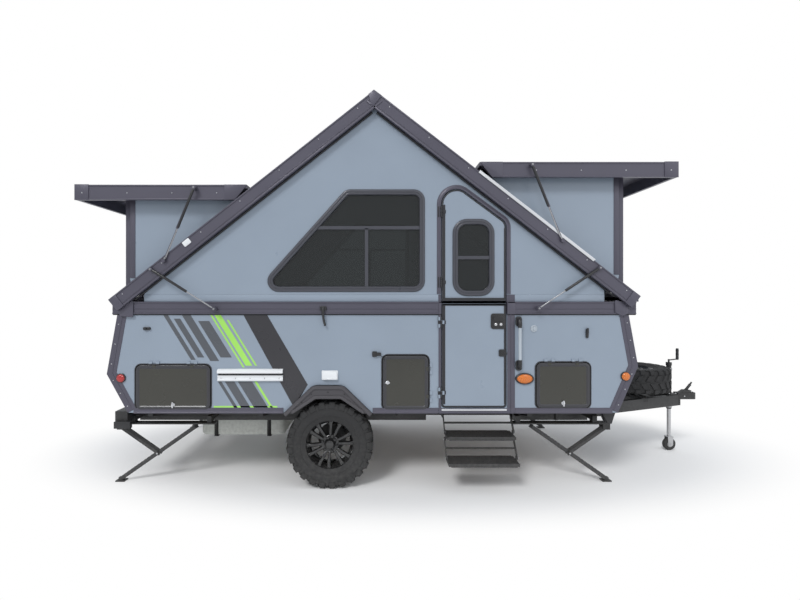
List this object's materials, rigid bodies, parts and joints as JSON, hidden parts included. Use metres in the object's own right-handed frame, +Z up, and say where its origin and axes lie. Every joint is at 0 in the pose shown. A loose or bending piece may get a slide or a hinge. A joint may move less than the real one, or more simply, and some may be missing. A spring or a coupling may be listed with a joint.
{
  "type": "folding camper trailer",
  "caption": "Hard-sided folding camper trailer with a peaked roof, a dormer at each end, entry step, tongue jack and spare.",
  "frame": {"origin": "on the ground, under the middle of the whole length and of the body's width", "axes": "+X towards the hitch, +Y to the side away from the entry door, +Z up"},
  "size_m": [5.945, 2.2406, 3.3751],
  "materials": {
    "panel": "satin blue-grey sandwich panel",
    "trim": "satin dark grey extrusion",
    "chassis": "black powder coat",
    "baggage": "near-black moulding",
    "rubber": "black rubber",
    "wheel": "gloss black",
    "glass": "tinted double pane in a dark frame",
    "zinc": "zinc plated",
    "tank": "white polyethylene",
    "wood": "laminated plywood",
    "cushion": "woven upholstery"
  },
  "bodies": {
    "trailer": {"axle": "chassis", "bed_base": "wood", "bed_base_cushion": "cushion", "belt_rail": "trim", "chassis": "chassis", "coupler": "chassis", "dinette": "wood", "dinette_cushion": "cushion", "dormer_lid_front": "trim", "dormer_lid_rear": "trim", "end_wall_front": "panel", "end_wall_rear": "panel", "fender_far": "trim", "fender_near": "trim", "floor": "wood", "galley": "wood", "jack_tube": "chassis", "roof_front": "trim", "roof_rear": "trim", "side_wall_far": "panel", "side_wall_near": "panel", "spare_tyre": "rubber", "spare_wheel": "wheel", "water_tank": "tank"},
    "wheel_near": {"wheel_near": "wheel", "tyre_near": "rubber"},
    "wheel_far": {"wheel_far": "wheel", "tyre_far": "rubber"},
    "jack_leg": {"jack_leg": "zinc"},
    "jack_wheel": {"jack_wheel": "rubber"},
    "gable_near": {"gable_near": "panel", "gable_window_near": "glass"},
    "gable_far": {"gable_far": "panel", "gable_window_far": "glass"},
    "door_upper": {"door_upper": "panel", "door_window": "glass"},
    "door_lower": {"door_lower": "panel"},
    "baggage_door_rear": {"baggage_door_rear": "baggage"},
    "baggage_door_middle": {"baggage_door_middle": "baggage"},
    "baggage_door_front": {"baggage_door_front": "baggage"},
    "dormer_side_rear_near": {"dormer_side_rear_near": "panel"},
    "dormer_side_rear_far": {"dormer_side_rear_far": "panel"},
    "dormer_side_front_near": {"dormer_side_front_near": "panel"},
    "dormer_side_front_far": {"dormer_side_front_far": "panel"},
    "dormer_wall_rear": {"dormer_wall_rear": "panel", "dormer_window_rear": "glass"},
    "dormer_wall_front": {"dormer_wall_front": "panel", "dormer_window_front": "glass"},
    "stabiliser_brace_rear_near": {"stabiliser_brace_rear_near": "chassis"},
    "stabiliser_brace_rear_far": {"stabiliser_brace_rear_far": "chassis"},
    "stabiliser_brace_front_near": {"stabiliser_brace_front_near": "chassis"},
    "stabiliser_brace_front_far": {"stabiliser_brace_front_far": "chassis"},
    "stabiliser_leg_rear_near": {"stabiliser_leg_rear_near": "chassis"},
    "stabiliser_leg_rear_far": {"stabiliser_leg_rear_far": "chassis"},
    "stabiliser_leg_front_near": {"stabiliser_leg_front_near": "chassis"},
    "stabiliser_leg_front_far": {"stabiliser_leg_front_far": "chassis"},
    "step_arms_upper": {"step_arms_upper": "chassis"},
    "step_tread_upper": {"step_tread_upper": "chassis"},
    "step_arms_lower": {"step_arms_lower": "chassis"},
    "step_tread_lower": {"step_tread_lower": "chassis"}
  },
  "joints": [
    {"name": "wheel_near_spin", "type": "hinge", "parent": "trailer", "child": "wheel_near", "pos_m": [-0.82, -0.9125, 0.372], "axis": [0, 1, 0], "continuous": true},
    {"name": "wheel_far_spin", "type": "hinge", "parent": "trailer", "child": "wheel_far", "pos_m": [-0.82, 0.9125, 0.372], "axis": [0, 1, 0], "continuous": true},
    {"name": "jack_extend", "type": "slide", "parent": "trailer", "child": "jack_leg", "axis": [0, 0, 1], "range_m": [0, 0.25]},
    {"name": "jack_wheel_spin", "type": "hinge", "parent": "jack_leg", "child": "jack_wheel", "pos_m": [2.697, 0, 0.065], "axis": [0, 1, 0], "continuous": true},
    {"name": "gable_near_fold", "type": "hinge", "parent": "trailer", "child": "gable_near", "pos_m": [-0.82, -0.975, 1.6553], "axis": [-1, 0, 0], "range_deg": [0, 90]},
    {"name": "gable_far_fold", "type": "hinge", "parent": "trailer", "child": "gable_far", "pos_m": [-0.82, 0.975, 1.5953], "axis": [1, 0, 0], "range_deg": [0, 90]},
    {"name": "door_upper_swing", "type": "hinge", "parent": "gable_near", "child": "door_upper", "pos_m": [0.13, -1.025, 2.06], "axis": [0, 0, 1], "range_deg": [-110, 0]},
    {"name": "door_lower_swing", "type": "hinge", "parent": "trailer", "child": "door_lower", "pos_m": [0.13, -1.025, 1.12], "axis": [0, 0, 1], "range_deg": [-110, 0]},
    {"name": "baggage_rear_lift", "type": "hinge", "parent": "trailer", "child": "baggage_door_rear", "pos_m": [-2.15, -1.0225, 1.061], "axis": [-1, 0, 0], "range_deg": [0, 110]},
    {"name": "baggage_front_lift", "type": "hinge", "parent": "trailer", "child": "baggage_door_front", "pos_m": [1.167, -1.0225, 1.081], "axis": [-1, 0, 0], "range_deg": [0, 110]},
    {"name": "baggage_middle_swing", "type": "hinge", "parent": "trailer", "child": "baggage_door_middle", "pos_m": [0.027, -1.0225, 0.907], "axis": [0, 0, 1], "range_deg": [0, 100]},
    {"name": "dormer_side_rear_near_fold", "type": "hinge", "parent": "trailer", "child": "dormer_side_rear_near", "pos_m": [-2.564, -0.89, 1.69422], "axis": [-0.7852, 0, -0.6192], "range_deg": [0, 90]},
    {"name": "dormer_side_rear_far_fold", "type": "hinge", "parent": "trailer", "child": "dormer_side_rear_far", "pos_m": [-2.564, 0.89, 1.69422], "axis": [0.7852, 0, 0.6192], "range_deg": [0, 90]},
    {"name": "dormer_side_front_near_fold", "type": "hinge", "parent": "trailer", "child": "dormer_side_front_near", "pos_m": [1.689, -0.89, 1.72276], "axis": [-0.7905, 0, 0.6124], "range_deg": [0, 90]},
    {"name": "dormer_side_front_far_fold", "type": "hinge", "parent": "trailer", "child": "dormer_side_front_far", "pos_m": [1.689, 0.89, 1.72276], "axis": [0.7905, 0, -0.6124], "range_deg": [0, 90]},
    {"name": "dormer_wall_rear_fold", "type": "hinge", "parent": "trailer", "child": "dormer_wall_rear", "pos_m": [-2.6305, 0, 1.64765], "axis": [0, 1, 0], "range_deg": [0, 52]},
    {"name": "dormer_wall_front_fold", "type": "hinge", "parent": "trailer", "child": "dormer_wall_front", "pos_m": [1.7555, 0, 1.6771], "axis": [0, -1, 0], "range_deg": [0, 52.5]},
    {"name": "stabiliser_rear_near_lift", "type": "hinge", "parent": "trailer", "child": "stabiliser_brace_rear_near", "pos_m": [-2.68, -0.83, 0.48], "axis": [0, -1, 0], "range_deg": [0, 31]},
    {"name": "stabiliser_rear_far_lift", "type": "hinge", "parent": "trailer", "child": "stabiliser_brace_rear_far", "pos_m": [-2.68, 0.83, 0.48], "axis": [0, -1, 0], "range_deg": [0, 31]},
    {"name": "stabiliser_front_near_lift", "type": "hinge", "parent": "trailer", "child": "stabiliser_brace_front_near", "pos_m": [1.61, -0.83, 0.48], "axis": [0, 1, 0], "range_deg": [0, 31]},
    {"name": "stabiliser_front_far_lift", "type": "hinge", "parent": "trailer", "child": "stabiliser_brace_front_far", "pos_m": [1.61, 0.83, 0.48], "axis": [0, 1, 0], "range_deg": [0, 31]},
    {"name": "stabiliser_leg_rear_near_turn", "type": "hinge", "parent": "stabiliser_brace_rear_near", "child": "stabiliser_leg_rear_near", "pos_m": [-2.35614, -0.83, 0.25386], "axis": [0, -1, 0], "range_deg": [-64, 0]},
    {"name": "stabiliser_leg_rear_far_turn", "type": "hinge", "parent": "stabiliser_brace_rear_far", "child": "stabiliser_leg_rear_far", "pos_m": [-2.35614, 0.83, 0.25386], "axis": [0, -1, 0], "range_deg": [-64, 0]},
    {"name": "stabiliser_leg_front_near_turn", "type": "hinge", "parent": "stabiliser_brace_front_near", "child": "stabiliser_leg_front_near", "pos_m": [1.28614, -0.83, 0.25386], "axis": [0, 1, 0], "range_deg": [-64, 0]},
    {"name": "stabiliser_leg_front_far_turn", "type": "hinge", "parent": "stabiliser_brace_front_far", "child": "stabiliser_leg_front_far", "pos_m": [1.28614, 0.83, 0.25386], "axis": [0, 1, 0], "range_deg": [-64, 0]},
    {"name": "step_swing", "type": "hinge", "parent": "trailer", "child": "step_arms_upper", "pos_m": [0.4675, -0.84, 0.595], "axis": [1, 0, 0], "range_deg": [0, 110]},
    {"name": "step_tread_upper_level", "type": "hinge", "parent": "step_arms_upper", "child": "step_tread_upper", "pos_m": [0.4675, -0.94606, 0.4686], "axis": [1, 0, 0], "range_deg": [-110, 0]},
    {"name": "step_arms_lower_swing", "type": "hinge", "parent": "step_tread_upper", "child": "step_arms_lower", "pos_m": [0.4675, -0.94606, 0.4066], "axis": [1, 0, 0], "range_deg": [0, 110]},
    {"name": "step_tread_lower_level", "type": "hinge", "parent": "step_arms_lower", "child": "step_tread_lower", "pos_m": [0.4675, -1.05212, 0.2802], "axis": [1, 0, 0], "range_deg": [-110, 0]}
  ],
  "couplings": [
    {"joint": "stabiliser_leg_rear_near_turn", "follows": "stabiliser_rear_near_lift", "ratio": -2},
    {"joint": "stabiliser_leg_rear_far_turn", "follows": "stabiliser_rear_far_lift", "ratio": -2},
    {"joint": "stabiliser_leg_front_near_turn", "follows": "stabiliser_front_near_lift", "ratio": -2},
    {"joint": "stabiliser_leg_front_far_turn", "follows": "stabiliser_front_far_lift", "ratio": -2},
    {"joint": "step_tread_upper_level", "follows": "step_swing", "ratio": -1},
    {"joint": "step_arms_lower_swing", "follows": "step_swing", "ratio": 1},
    {"joint": "step_tread_lower_level", "follows": "step_swing", "ratio": -1}
  ]
}
